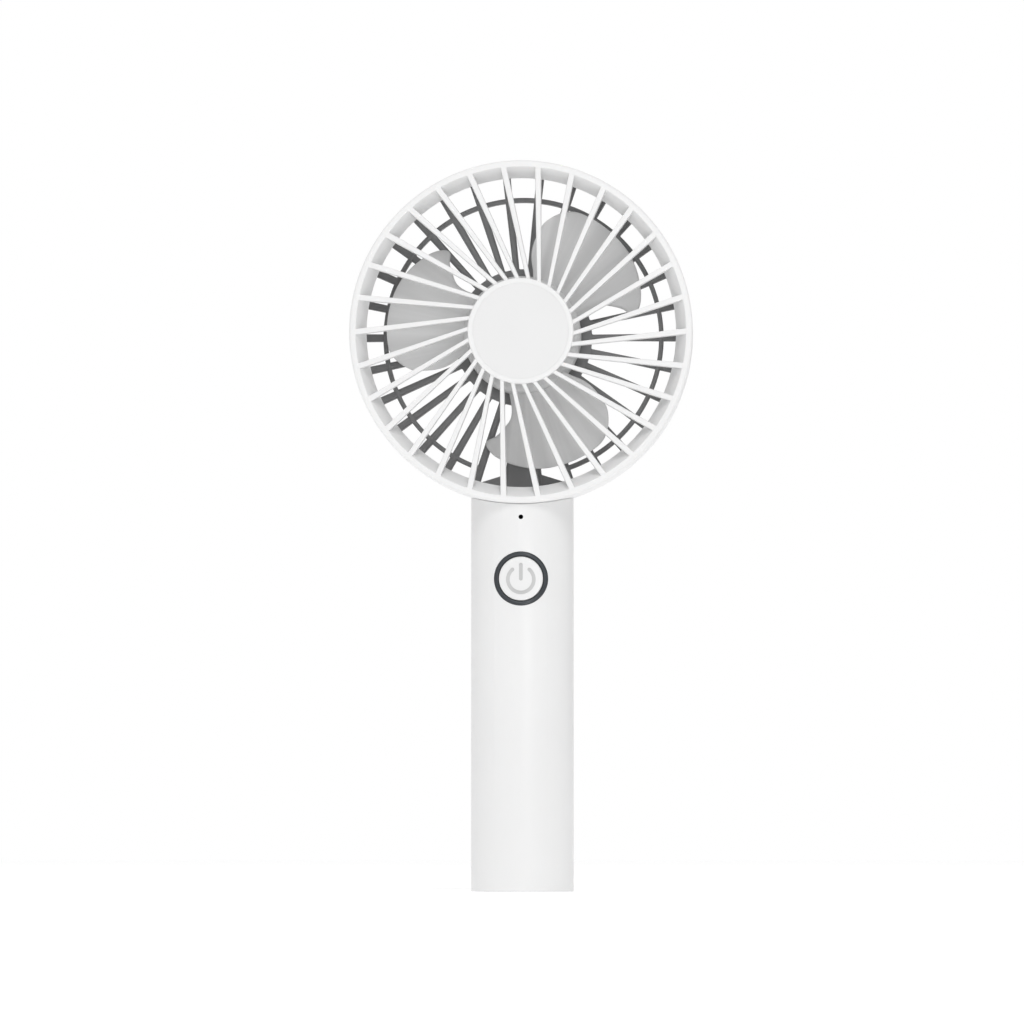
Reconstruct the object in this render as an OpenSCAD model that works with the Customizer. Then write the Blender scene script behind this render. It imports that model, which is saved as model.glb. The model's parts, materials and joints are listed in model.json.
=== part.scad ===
// Handheld electric fan: a round caged head on a plain cylindrical handle.
// +Z is up and the air leaves towards -Y. The origin is the centre of the handle's flat bottom.
// Head parts are drawn about the head's own axis, where local +Z points out of the front.

/* [Head] */
// Outer diameter of the head
head_d = 102; // [98:1:108]
// Height of the head's axis above the base
head_z = 166; // [162:0.2:176]
// Depth of the rim's front face ahead of the handle's axis
rim_front = 16.5; // [16:0.1:18]
// Depth of the seam between the front grille and the rear housing
seam_f = 8.5; // [8:0.1:9]
// Depth of the head's flat back behind the handle's axis
head_back = 15.3; // [15.3:0.1:16]
// Width of the rim's flat front face
rim_w = 1.9; // [1.6:0.1:2.4]

/* [Front grille] */
// Number of spokes
spoke_n = 30; // [24:1:36]
// Distance at which each straight spoke passes the head's axis
spoke_offset = 5.65; // [3:0.05:8]
// Width of a spoke at the hub
spoke_w_in = 1.2; // [0.8:0.1:1.4]
// Width of a spoke at the rim
spoke_w_out = 1.8; // [1.2:0.1:2.2]
// Depth of a spoke from front to back
spoke_depth = 2.2; // [1.6:0.1:2.6]
// Radius of the grille's hub
grille_hub_r = 15.7; // [15:0.1:16.5]
// How far the grille's hub stands ahead of the rim
hub_rise = 2.8; // [2:0.1:3.2]

/* [Rear guard] */
// Number of vanes around the guard
vane_n = 30; // [24:2:36]
// Width of a vane at the motor seat
vane_w_in = 1.8; // [1.4:0.1:2.2]
// Width of a vane at the outer ring
vane_w_out = 2.35; // [1.8:0.05:2.6]
// Radius of the motor seat
seat_r = 20.6; // [20.4:0.1:22]
// Inner radius of the thin middle ring
mid_ring_r = 40.7; // [36:0.1:42]
// Width of the thin middle ring
mid_ring_w = 1.4; // [1:0.1:2]
// Angle that the wire duct fills between the two lowest vanes
duct_angle = 13; // [12:0.5:15]

/* [Rotor] */
// Number of blades
blade_n = 3; // [3:1:3]
// Radius of the rotor's hub
rotor_hub_r = 17.5; // [17.5:0.1:18]
// Thickness of a blade
blade_t = 1.3; // [1:0.1:1.6]
// Axial rise of a blade in millimetres per degree of turn
blade_rise = 0.15; // [0.1:0.01:0.16]

/* [Handle] */
// Outer diameter of the handle
handle_d = 30.6; // [30.6:0.1:32]
// Wall thickness of the handle tube
handle_wall = 1.7; // [1.4:0.1:1.7]
// Height of the power button's centre above the base
button_z = 92.7; // [90:0.1:96]
// Height of the indicator hole above the base
led_z = 111; // [110:0.2:112]
// Height of the charging socket's centre above the base
usb_z = 85; // [84:0.5:87]

/* [Power button] */
// Radius of the button's face
button_r = 6.5; // [6:0.1:6.6]
// Outer radius of the dark ring around the button
bezel_r = 8; // [7.6:0.1:8]
// Travel of the button
button_travel = 0.4; // [0.2:0.05:0.4]
// Middle radius of the power symbol's arc
symbol_r = 3.85; // [3:0.05:4]
// Stroke width of the power symbol
symbol_w = 1.08; // [0.8:0.02:1.2]

/* [Battery] */
// Diameter of the battery cell
cell_d = 18.5; // [18.3:0.1:18.6]
// Length of the battery cell
cell_h = 65; // [65:0.1:65.2]

/* [Hidden] */
$fn = 128;
eps = 0.01;
fit = 0.02;        // radial gap of a pressed or screwed fit
loose = 0.1;       // gap of an assembled, non-moving fit

// Head shell: everything here is a radius, or a depth ahead of the handle's axis
head_r = head_d / 2;
rim_in_r = head_r - rim_w;
throat_r = head_r - 5;
throat_f = rim_front - 5;
rim_round = 1.2;
spoke_sink = 0.15;
spoke_hub_step = 0.4;
hub_front = rim_front + hub_rise;
hub_t = 3.2;
hub_chamfer = 0.4;
cap_r = grille_hub_r - 1.45;
cap_seat = hub_front - 1.1;
cap_proud = 0.1;
cap_chamfer = 0.2;
cap_pin_at = 9;
cap_pin_r = 1;
cap_pin_h = 2.5;
seam_chamfer = 0.3;
shell_in_r = head_r - 1.8;
skirt_r = head_r - 4.1;
skirt_back = seam_f - 3;
round_start = 1.5;
round_r = 1.6;
lip_r = head_r - 2.55;
lip_t = 1.5;
bead_f = [-10.45, -10.2, -9.9, -9.6];
bead_h = 0.2;
lip_f = -head_back + lip_t;
lug_w = 12;
lug_f = seam_f - 2.2;

// Rear guard and motor seat
guard_front = -10.5;
guard_back = lip_f;
seat_wall = 3.6;
seat_floor = lip_f;
boss_r = 5.2;
boss_front = -9.6;
duct_front = -9.7;
duct_wall = 0.6;
channel_w = 3.9;
flare_top = [5, 41.1];
flare_foot = [18.2, 44.95];

// Motor stack
tube_r = 3.6;
tube_front = -0.6;
bearing_r = 3;
bearing_w = 2.5;
shaft_r = 1;
running_gap = 0.03;
rear_bearing_f = seat_floor + 0.05;
front_bearing_f = tube_front - 0.2 - bearing_w;
clip_f = seat_floor - 0.35;
clip_t = 0.25;
pocket_r = 2.3;
pocket_f = -head_back + 0.6;
core_back = -7.2;
core_h = 5;
slot_n = 9;
shoe_r = 12.4;
magnet_in_r = 12.8;
yoke_r = 15.6;
yoke_t = 0.75;
yoke_front = 1.8;
rotor_front = 4;
rotor_back = -8.5;
board_t = 1.2;
board_r = 16.3;

// One blade, from root to tip: radius, leading edge angle, trailing edge angle
BLADE_SECTIONS = [[16.6, 15, 78.5], [19, 18.5, 80], [22, 21.3, 82.5], [25, 21.6, 83.2],
                  [28, 18.6, 82.3], [31, 15, 80.5], [33.6, 10.8, 79], [36.5, 15.4, 75],
                  [38.8, 26, 70.5], [40.2, 37, 65], [40.6, 48, 54]];
blade_mid_angle = 48;
blade_mid_f = -0.5;
blade_steps = 10;
rows_per_section = 2;

// Handle
handle_r = handle_d / 2;
handle_in_r = handle_r - handle_wall;
tube_blank_h = head_z - throat_r;
spigot_r = handle_in_r - 0.2;
spigot_in_r = spigot_r - 1.4;
spigot_z = 104;
post_x = 7;
post_y = 6.5;
post_r = 2;
post_top = head_z - head_r;
pad_h = 2.8;
pad_top = post_top + pad_h;
wire_hole_y = 10.6;
wire_hole_r = 2.2;
base_flange_r = handle_in_r + 0.6;
base_flange_t = 2;
cap_top = 4;
base_screw_x = 9.5;
frame_r = handle_in_r - 0.3;
cell_z = 11;
tab_t = 0.3;
deck_z = cell_z + cell_h + tab_t;
deck_t = 1.7;
pcb_z = deck_z + deck_t;
pcb_h = 35.5;
pcb_w = 20;
pcb_t = 1.6;
pcb_front_y = 1;
pcb_back_y = pcb_front_y + pcb_t;
rail_top = spigot_z - 0.5;

// Button, switch and small screws
button_face_y = -(handle_r + 0.25);
button_crown_r = 40;
bezel_in_r = button_r + 0.1;
bezel_back_y = -9;
stem_tip_y = -3.65;
switch_w = 6;
switch_h = 3.5;
plunger_r = 1.7;
plunger_tip_y = stem_tip_y + 0.05;
screw_r = 1;
screw_head_r = 1.9;
screw_head_h = 1.2;
wire_r = 0.6;
joint_swell = 0.05;

// ---- Helpers ----

module head_axis() translate([0, 0, head_z]) rotate([90, 0, 0]) children();

// A disc or tube about the local Z axis between two heights
module disc(r, z0, z1, hole = 0) {
    difference() {
        translate([0, 0, z0]) cylinder(r = r, h = z1 - z0);
        if (hole > 0)
            translate([0, 0, z0 - eps]) cylinder(r = hole, h = z1 - z0 + 2 * eps);
    }
}

// A rod or bore along Y between two depths
module y_rod(r, y0, y1, x = 0, z = 0) translate([x, y1, z]) rotate([90, 0, 0]) cylinder(r = r, h = y1 - y0);

module box(x0, x1, y0, y1, z0, z1) translate([x0, y0, z0]) cube([x1 - x0, y1 - y0, z1 - z0]);

// Straight bar on the local X axis that widens from w0 to w1
module bar(x0, x1, w0, w1, h) {
    linear_extrude(height = h) polygon([[x0, -w0 / 2], [x1, -w1 / 2], [x1, w1 / 2], [x0, w0 / 2]]);
}

// Pan-head screw that points down local -Z, with its seat at the origin
module screw(length) {
    difference() {
        union() {
            cylinder(r = screw_head_r, h = screw_head_h);
            translate([0, 0, -length]) cylinder(r = screw_r, h = length + eps);
        }
        for (a = [0, 90])
            rotate([0, 0, a]) translate([-1.1, -0.2, screw_head_h - 0.6]) cube([2.2, 0.4, 1]);
    }
}

// Insulated wire that follows a list of points
module wire(points) {
    for (i = [0 : len(points) - 2]) {
        step = points[i + 1] - points[i];
        translate(points[i])
            rotate([0, acos(step.z / norm(step)), atan2(step.y, step.x)])
                cylinder(r = wire_r, h = norm(step), $fn = 12);
    }
    for (p = points)
        translate(p) sphere(r = wire_r + joint_swell, $fn = 12);
}

// The head's outer shape behind the seam, as a solid: used by the shell and to trim the handle
function shell_r(t) = head_r - round_r * (1 - cos(t));
function shell_f(t) = round_start - (round_start + head_back) * sin(t);
function shell_curve(grow) = [for (t = [0 : 9 : 90]) [shell_r(t) + grow, shell_f(t)]];

module head_solid(grow) {
    rotate_extrude()
        polygon(concat([[0, rim_front], [head_r + grow, rim_front]], shell_curve(grow), [[0, -head_back]]));
}

// ---- Head ----

module grille_ring_section() {
    polygon(concat(
        [[head_r - seam_chamfer, seam_f], [head_r, seam_f + seam_chamfer]],
        [for (t = [0 : 15 : 90]) [head_r - rim_round * (1 - cos(t)), rim_front - rim_round * (1 - sin(t))]],
        [[rim_in_r, rim_front], [throat_r, throat_f], [skirt_r, skirt_back],
         [shell_in_r - loose, skirt_back], [shell_in_r - loose, seam_f]]));
}

module spokes() {
    s_in = sqrt(pow(grille_hub_r - 0.6, 2) - pow(spoke_offset, 2));
    s_out = sqrt(pow(rim_in_r + 0.5, 2) - pow(spoke_offset, 2));
    tilt = atan((hub_rise - spoke_hub_step) / (s_out - s_in));
    lean = asin(spoke_offset / rim_in_r);
    for (k = [0 : spoke_n - 1])
        rotate([0, 0, k * 360 / spoke_n + lean])
            translate([s_out, -spoke_offset, rim_front - spoke_sink]) rotate([0, tilt, 0])
                translate([0, 0, -spoke_depth])
                    bar(-(s_out - s_in) / cos(tilt), 0, spoke_w_in, spoke_w_out, spoke_depth);
}

module grille_hub() {
    difference() {
        union() {
            disc(grille_hub_r, hub_front - hub_t, hub_front - hub_chamfer);
            translate([0, 0, hub_front - hub_chamfer])
                cylinder(r1 = grille_hub_r, r2 = grille_hub_r - hub_chamfer, h = hub_chamfer);
        }
        translate([0, 0, cap_seat]) cylinder(r = cap_r + loose / 2, h = 2);
        for (a = [90, 210, 330])
            rotate([0, 0, a]) translate([cap_pin_at, 0, 0]) cylinder(r = cap_pin_r + fit, h = hub_front);
    }
}

module front_grille() {
    color("white") head_axis() {
        rotate_extrude() grille_ring_section();
        spokes();
        grille_hub();
        // Four snap lugs on the skirt
        intersection() {
            disc(shell_in_r + 0.25, lug_f - 0.5, lug_f + 0.5, shell_in_r - 0.5);
            for (a = [45, 135])
                rotate([0, 0, a]) box(-head_r, head_r, -lug_w / 2, lug_w / 2, 0, seam_f);
        }
    }
}

module grille_cap() {
    color("whitesmoke") head_axis() {
        disc(cap_r, cap_seat, hub_front + cap_proud - cap_chamfer);
        translate([0, 0, hub_front + cap_proud - cap_chamfer])
            cylinder(r1 = cap_r, r2 = cap_r - cap_chamfer, h = cap_chamfer);
        for (a = [90, 210, 330])
            rotate([0, 0, a]) translate([cap_pin_at, 0, cap_seat - cap_pin_h])
                cylinder(r = cap_pin_r, h = cap_pin_h + eps);
    }
}

module shell_section() {
    polygon(concat(
        [[shell_in_r, seam_f], [head_r - seam_chamfer, seam_f], [head_r, seam_f - seam_chamfer]],
        shell_curve(0),
        [[lip_r, -head_back], [lip_r, lip_f], [shell_in_r, lip_f],
         // Bead that the rear guard snaps behind
         [shell_in_r, bead_f[0]], [shell_in_r - bead_h, bead_f[1]],
         [shell_in_r - bead_h, bead_f[2]], [shell_in_r, bead_f[3]]]));
}

module neck_spigot() {
    difference() {
        disc(spigot_r, spigot_z, pad_top + 2, spigot_in_r);
        // Slot that lets the indicator through
        box(-2.4, 2.4, -handle_r, 0, spigot_z - 1, led_z + 2.6);
        // Room for the front grille's band
        head_axis() disc(head_r + loose, seam_f, rim_front + 1);
        // The spigot starts at the shell's outer face
        head_axis() head_solid(-0.5);
    }
}

module rear_housing() {
    color("white") difference() {
        union() {
            head_axis() rotate_extrude() shell_section();
            neck_spigot();
            for (side = [-1, 1])
                translate([side * post_x, post_y, 0]) disc(post_r + 0.4, post_top, pad_top);
        }
        head_axis() disc(shell_in_r + 0.45, lug_f - 0.7, lug_f + 0.7);
        for (side = [-1, 1])
            translate([side * post_x, post_y, 0]) {
                disc(screw_r + fit, post_top - 1, pad_top + 5);
                disc(screw_head_r + 0.5, pad_top, pad_top + 5);
            }
        translate([0, wire_hole_y, 0]) disc(wire_hole_r, post_top - 2, post_top + 6);
    }
}

module duct_outline() {
    half = head_r * tan(duct_angle / 2);
    intersection() {
        difference() {
            circle(r = lip_r + 0.4);
            circle(r = seat_r - 1);
        }
        polygon([[0, 0], [-half, -head_r], [half, -head_r]]);
    }
}

// The guard seen from the front: rings, vanes, motor seat, wire duct and its flares at the neck
module guard_outline() {
    step = 360 / vane_n;
    gap = head_r * tan(1.5 * step);
    difference() {
        circle(r = shell_in_r - loose / 2);
        circle(r = lip_r);
    }
    difference() {
        circle(r = mid_ring_r + mid_ring_w);
        circle(r = mid_ring_r);
        // The middle ring stops at the last free vane on each side of the duct
        polygon([[0, 0], [-gap, -head_r], [gap, -head_r]]);
    }
    circle(r = seat_r);
    for (k = [0 : vane_n - 1])
        rotate(k * step)
            polygon([[seat_r - 0.8, -vane_w_in / 2], [lip_r + 0.4, -vane_w_out / 2],
                     [lip_r + 0.4, vane_w_out / 2], [seat_r - 0.8, vane_w_in / 2]]);
    duct_outline();
    intersection() {
        circle(r = lip_r + 0.4);
        polygon([[-flare_top.x, -flare_top.y], [-flare_foot.x, -flare_foot.y], [-flare_foot.x, -head_r],
                 [flare_foot.x, -head_r], [flare_foot.x, -flare_foot.y], [flare_top.x, -flare_top.y]]);
    }
}

module rear_guard() {
    half = channel_w / 2;
    color("dimgray") head_axis() difference() {
        union() {
            difference() {
                union() {
                    translate([0, 0, guard_back]) {
                        linear_extrude(height = guard_front - guard_back) guard_outline();
                        linear_extrude(height = duct_front - guard_back) duct_outline();
                    }
                    disc(seat_r - 0.5, -head_back, guard_back + 1);
                }
                disc(seat_r - seat_wall, seat_floor, 0);
            }
            disc(boss_r, seat_floor - 0.5, boss_front);
        }
        // Channel for the wires, open to the motor seat and through the outer ring
        box(-half, half, -head_r, -seat_r + seat_wall + 1, guard_back + duct_wall, duct_front - duct_wall);
        disc(tube_r + fit, seat_floor, 0);
        disc(pocket_r, pocket_f, 0);
    }
}

// ---- Motor ----

// Smooth curve through the blade's sections; t counts sections from the root
function section_at(t) =
    let (last = len(BLADE_SECTIONS) - 1, i = min(floor(t), last - 1), u = t - i,
         a = BLADE_SECTIONS[max(i - 1, 0)], b = BLADE_SECTIONS[i],
         c = BLADE_SECTIONS[i + 1], d = BLADE_SECTIONS[min(i + 2, last)])
    (2 * b + (c - a) * u + (2 * a - 5 * b + 4 * c - d) * u * u + (3 * b - a - 3 * c + d) * u * u * u) / 2;

function blade_point(row, col, side) =
    let (s = section_at(row / rows_per_section), a = s[1] + (s[2] - s[1]) * col / blade_steps)
    [s[0] * cos(a), s[0] * sin(a), blade_mid_f + blade_rise * (a - blade_mid_angle) + side * blade_t / 2];

// Two triangles for each side of a strip of the blade
function quad(a, b, c, d) = [[a, b, c], [a, c, d]];

module blade() {
    rows = (len(BLADE_SECTIONS) - 1) * rows_per_section;
    cols = blade_steps;
    layer = (rows + 1) * (cols + 1);
    points = [for (side = [1, -1], row = [0 : rows], col = [0 : cols]) blade_point(row, col, side)];
    function top(row, col) = row * (cols + 1) + col;
    function low(row, col) = layer + top(row, col);
    skin = [for (r = [0 : rows - 1], c = [0 : cols - 1])
            each concat(quad(top(r, c), top(r, c + 1), top(r + 1, c + 1), top(r + 1, c)),
                        quad(low(r, c), low(r + 1, c), low(r + 1, c + 1), low(r, c + 1)))];
    sides = [for (r = [0 : rows - 1])
             each concat(quad(top(r, 0), top(r + 1, 0), low(r + 1, 0), low(r, 0)),
                         quad(top(r + 1, cols), top(r, cols), low(r, cols), low(r + 1, cols)))];
    ends = [for (c = [0 : cols - 1])
            each concat(quad(top(0, c + 1), top(0, c), low(0, c), low(0, c + 1)),
                        quad(top(rows, c), top(rows, c + 1), low(rows, c + 1), low(rows, c)))];
    polyhedron(points = points, faces = concat(skin, sides, ends), convexity = 6);
}

module rotor() {
    color("lightgray") head_axis() difference() {
        union() {
            disc(rotor_hub_r, rotor_back, rotor_front - 1.2);
            translate([0, 0, rotor_front - 1.2])
                cylinder(r1 = rotor_hub_r, r2 = rotor_hub_r - 1.2, h = 1.2);
            for (k = [0 : blade_n - 1])
                rotate([0, 0, k * 360 / blade_n]) blade();
        }
        disc(yoke_r + fit, rotor_back - 1, yoke_front);
        disc(shaft_r + fit, 0, rotor_front - 0.7);
    }
}

module rotor_yoke() {
    color("silver") head_axis() {
        disc(yoke_r, rotor_back + 0.3, yoke_front, yoke_r - yoke_t);
        disc(yoke_r - yoke_t + eps, yoke_front - 0.8, yoke_front, shaft_r + fit);
    }
}

module magnet_ring() {
    color("#303030") head_axis() disc(yoke_r - yoke_t - fit, rotor_back + 0.5, 0.6, magnet_in_r);
}

module motor_shaft() {
    color("lightsteelblue") head_axis() difference() {
        disc(shaft_r, clip_f - 0.35, rotor_front - 0.8);
        // Groove for the retaining clip
        disc(shaft_r + 1, clip_f, clip_f + clip_t, shaft_r - 0.25);
    }
}

module shaft_clip() {
    color("gray") head_axis() difference() {
        disc(1.9, clip_f + eps, clip_f + clip_t - eps, shaft_r - 0.25 + fit);
        translate([0, -0.5, clip_f - 1]) cube([3, 1, 2]);
    }
}

module bearing_tube() {
    color("goldenrod") head_axis() difference() {
        disc(tube_r, seat_floor, tube_front);
        disc(bearing_r + fit, seat_floor - 1, rear_bearing_f + bearing_w);
        disc(bearing_r + fit, front_bearing_f, 1);
        disc(bearing_r - 0.7, seat_floor, 0);
    }
}

// Two races with a shield between them
module bearing(f) {
    head_axis() {
        disc(bearing_r, f, f + bearing_w, bearing_r - 0.5);
        disc(bearing_r - 0.5 + eps, f + 0.2, f + bearing_w - 0.2, shaft_r + running_gap + 0.5 - eps);
        disc(shaft_r + running_gap + 0.5, f, f + bearing_w, shaft_r + running_gap);
    }
}

module front_bearing() color("silver") bearing(front_bearing_f);

module rear_bearing() color("silver") bearing(rear_bearing_f);

// One lamination: a hub, a tooth for each coil and pole shoes parted by the winding slots
module lamination() {
    tooth_w = 2.4;
    slot_w = 1.4;
    difference() {
        circle(r = shoe_r);
        difference() {
            circle(r = shoe_r - 1.2);
            circle(r = 6.2);
            for (k = [0 : slot_n - 1])
                rotate(k * 360 / slot_n) translate([0, -tooth_w / 2]) square([shoe_r, tooth_w]);
        }
        for (k = [0 : slot_n - 1])
            rotate((k + 0.5) * 360 / slot_n) translate([10, -slot_w / 2]) square([4, slot_w]);
        circle(r = tube_r + fit);
    }
}

module stator_core() {
    color("slategray") head_axis()
        translate([0, 0, core_back]) linear_extrude(height = core_h) lamination();
}

module stator_windings() {
    tooth_w = 2.4;
    rise = 1.6;
    color("peru") head_axis() {
        for (k = [0 : slot_n - 1])
            rotate([0, 0, k * 360 / slot_n]) difference() {
                translate([0, 0, core_back - rise]) bar(6.7, 10.6, 4, 5.9, core_h + 2 * rise);
                box(6, 12, -tooth_w / 2 - fit, tooth_w / 2 + fit, core_back - fit, core_back + core_h + fit);
            }
        // Lead-out pins that stand on the motor board
        for (k = [0, 3, 6])
            rotate([0, 0, k * 360 / slot_n])
                translate([9, 0, 0]) disc(0.4, seat_floor + board_t, core_back - rise + eps);
    }
}

module motor_board() {
    color("darkgreen") head_axis() difference() {
        union() {
            disc(board_r, seat_floor, seat_floor + board_t);
            // Driver chip, position sensor and smoothing capacitor
            translate([0, 0, seat_floor + board_t - eps]) {
                translate([-14, 4, 0]) cube([5, 4, 1.2]);
                translate([11, -2, 0]) cube([3, 4, 1]);
                translate([-10, -10, 0]) cylinder(r = 1.8, h = 2.4);
            }
        }
        disc(boss_r + loose, seat_floor - 1, 0);
    }
}

// Wires run down the duct, through the neck and on to the control board
module motor_lead(side) {
    x = side * 1.2;
    duct_y = -duct_front + duct_wall + wire_r + 0.2;
    board_y = pcb_back_y + wire_r + joint_swell;
    wire([[x, duct_y + 0.8, head_z - 15.5], [x, duct_y, head_z - 20], [x, duct_y, led_z + 1],
          [x, board_y, led_z - 1]]);
}

module motor_lead_red() color("firebrick") motor_lead(1);

module motor_lead_black() color("#202020") motor_lead(-1);

// ---- Handle ----

module handle_tube() {
    chamfer = 0.4;
    color("white") difference() {
        union() {
            cylinder(r1 = handle_r - chamfer, r2 = handle_r, h = chamfer);
            translate([0, 0, chamfer]) cylinder(r = handle_r, h = tube_blank_h - chamfer);
        }
        disc(handle_in_r, -1, head_z);
        disc(base_flange_r + loose, -1, base_flange_t);
        // The head sits in the tube's coped top
        head_axis() head_solid(0.05);
        head_axis() disc(head_r + 0.05, 0, rim_front + 5);
        head_axis() disc(head_r - round_r + 0.05, -head_back - 5, 0);
        // Holes for the button, the indicator and the charging socket
        y_rod(bezel_r + 0.05, -handle_r - 1, 0, z = button_z);
        y_rod(0.7, -handle_r - 1, 0, z = led_z);
        usb_slot(4.7, 1.85, handle_r + 1);
    }
}

// Slot with round ends, half_w wide and half_h high, from the axis out to y1
module usb_slot(half_w, half_h, y1, y0 = 5) {
    for (side = [-1, 1])
        y_rod(half_h, y0, y1, x = side * (half_w - half_h), z = usb_z);
    box(-half_w + half_h, half_w - half_h, y0, y1, usb_z - half_h, usb_z + half_h);
}

module inner_frame() {
    rail_in = pcb_w / 2 - 1;
    slot_x = (pcb_w + loose) / 2;
    color("gainsboro") difference() {
        union() {
            disc(frame_r, cap_top, cell_z - tab_t);
            // Cradle around the back half of the cell
            intersection() {
                disc(cell_d / 2 + 1.7, cell_z - tab_t - eps, deck_z + eps, cell_d / 2 + 0.2);
                box(-handle_r, handle_r, 0, handle_r, 0, head_z);
            }
            // Ribs that centre the cradle in the tube
            for (a = [35, 90, 145])
                rotate([0, 0, a])
                    box(cell_d / 2 + 1.2, frame_r, -0.8, 0.8, cell_z - tab_t - eps, deck_z + eps);
            disc(frame_r, deck_z, pcb_z);
            for (side = [-1, 1]) {
                translate([side * post_x, post_y, 0]) disc(post_r, pcb_z - eps, post_top);
                box(min(side * rail_in, side * (rail_in + 2.6)), max(side * rail_in, side * (rail_in + 2.6)),
                    -1.5, 4.5, pcb_z - eps, rail_top);
            }
        }
        // Slots in the rails for the board
        box(-slot_x, slot_x, pcb_front_y - fit, pcb_back_y + fit, pcb_z, rail_top + 1);
        for (side = [-1, 1]) {
            translate([side * post_x, post_y, 0]) disc(screw_r + fit, post_top - 8, post_top + 1);
            translate([side * base_screw_x, 0, 0]) disc(screw_r + fit, cap_top - 1, cap_top + 5.2);
        }
        // Holes for the battery leads
        translate([4, -5, 0]) disc(1.1, deck_z - 1, pcb_z + 1);
        translate([-3, -10.6, 0]) disc(1.1, deck_z - 1, pcb_z + 1);
    }
}

module neck_screws() {
    color("silver") for (side = [-1, 1])
        translate([side * post_x, post_y, pad_top]) screw(9);
}

module bottom_cap() {
    color("white") difference() {
        union() {
            disc(base_flange_r, 0, base_flange_t);
            disc(handle_in_r - loose, base_flange_t - eps, cap_top);
        }
        for (side = [-1, 1])
            translate([side * base_screw_x, 0, 0]) {
                disc(screw_head_r + 0.2, -1, screw_head_h + 0.2);
                disc(screw_r + loose, 0, cap_top + 1);
            }
    }
}

module base_screws() {
    color("silver") for (side = [-1, 1])
        translate([side * base_screw_x, 0, screw_head_h + 0.2]) rotate([180, 0, 0]) screw(7.4);
}

module control_board() {
    color("seagreen") {
        box(-pcb_w / 2, pcb_w / 2, pcb_front_y, pcb_back_y, pcb_z, pcb_z + pcb_h);
        // Charge controller, coil and capacitor
        box(-6, -1, pcb_front_y - 1.2, pcb_front_y + eps, 100, 104);
        box(2, 7, pcb_front_y - 2.6, pcb_front_y + eps, 99, 104);
        y_rod(1.6, pcb_front_y - 2.4, pcb_front_y + eps, x = -6, z = 86);
        box(-3, 3, pcb_back_y - eps, pcb_back_y + 1.4, 94, 98);
    }
}

module usb_socket() {
    half_w = 4.5;
    half_h = 1.65;
    mouth_y = 14.2;
    skin = 0.35;
    depth = 6.5;
    color("silver") difference() {
        usb_slot(half_w, half_h, mouth_y, pcb_back_y);
        usb_slot(half_w - skin, half_h - skin, mouth_y + 1, mouth_y - depth);
    }
    color("#202020") box(-3.3, 3.3, mouth_y - depth - eps, mouth_y - 1, usb_z - 0.35, usb_z + 0.35);
}

module tact_switch() {
    half = switch_w / 2;
    color("#303030") difference() {
        box(-half, half, pcb_front_y - switch_h, pcb_front_y, button_z - half, button_z + half);
        y_rod(plunger_r + loose, pcb_front_y - switch_h - 1, -0.1, z = button_z);
    }
}

module switch_plunger() {
    color("#484848") y_rod(plunger_r, plunger_tip_y, -0.1 - button_travel - loose, z = button_z);
}

module status_led() {
    tip_y = -12.9;
    lens_r = 1.5;
    color("lightblue") {
        y_rod(lens_r, tip_y + lens_r, -8.5, z = led_z);
        translate([0, tip_y + lens_r, led_z]) sphere(r = lens_r);
        y_rod(lens_r + 0.3, -8.9, -8.4, z = led_z);
        for (x = [-0.9, 0.9])
            y_rod(0.25, -8.5, pcb_front_y, x = x, z = led_z);
    }
}

// Power symbol: an arc open at the top with an upright bar, drawn in the button's own plane
module power_symbol() {
    gap = 40;
    difference() {
        circle(r = symbol_r + symbol_w / 2);
        circle(r = symbol_r - symbol_w / 2);
        polygon([[0, 0], [8 * tan(gap), 8], [-8 * tan(gap), 8]]);
    }
    for (side = [-1, 1])
        translate([side * symbol_r * sin(gap), symbol_r * cos(gap)]) circle(r = symbol_w / 2);
    translate([-symbol_w / 2, 0.2]) square([symbol_w, 4.2]);
    for (y = [0.2, 4.4])
        translate([0, y]) circle(r = symbol_w / 2);
}

module power_button() {
    plate_y = button_face_y + 2;
    color("whitesmoke") difference() {
        union() {
            intersection() {
                y_rod(button_r, button_face_y - 1, bezel_back_y, z = button_z);
                translate([0, button_face_y + button_crown_r, button_z - 20])
                    cylinder(r = button_crown_r, h = 40);
            }
            // Flange that stops the button behind its ring
            y_rod(button_r + 0.9, bezel_back_y + 0.2, bezel_back_y + 1.4, z = button_z);
            y_rod(button_r, bezel_back_y - 1, bezel_back_y + 1.3, z = button_z);
        }
        y_rod(button_r - 1.3, plate_y, bezel_back_y + 2, z = button_z);
        translate([0, button_face_y + 0.22, button_z - 0.27]) rotate([90, 0, 0])
            linear_extrude(height = 1) power_symbol();
    }
    // Stem that reaches the switch
    color("whitesmoke") y_rod(1.8, plate_y - eps, stem_tip_y, z = button_z);
}

module button_ring() {
    color("darkslategray") difference() {
        union() {
            intersection() {
                y_rod(bezel_r, -handle_r - 1, bezel_back_y, z = button_z);
                disc(handle_r - 0.05, button_z - 10, button_z + 10);
            }
            y_rod(bezel_r + 1, bezel_back_y - 1, bezel_back_y, z = button_z);
        }
        y_rod(bezel_in_r, -handle_r - 1, 0, z = button_z);
    }
}

// ---- Battery ----

module battery_cell() {
    color("steelblue") disc(cell_d / 2, cell_z, cell_z + cell_h - 1);
    color("silver") disc(3.2, cell_z + cell_h - 1 - eps, cell_z + cell_h);
}

module battery_tabs() {
    color("silver") {
        box(-5, -1, -11.4, 4, cell_z - tab_t, cell_z);
        box(-2.5, 5.5, -6.5, 2, cell_z + cell_h, cell_z + cell_h + tab_t);
    }
}

module battery_lead_red() {
    y = pcb_front_y - wire_r - joint_swell;
    foot_z = deck_z + wire_r + joint_swell;
    color("firebrick") wire([[4, -5, foot_z], [4, -5, pcb_z + 2.5], [4, y, pcb_z + 4]]);
}

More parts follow.
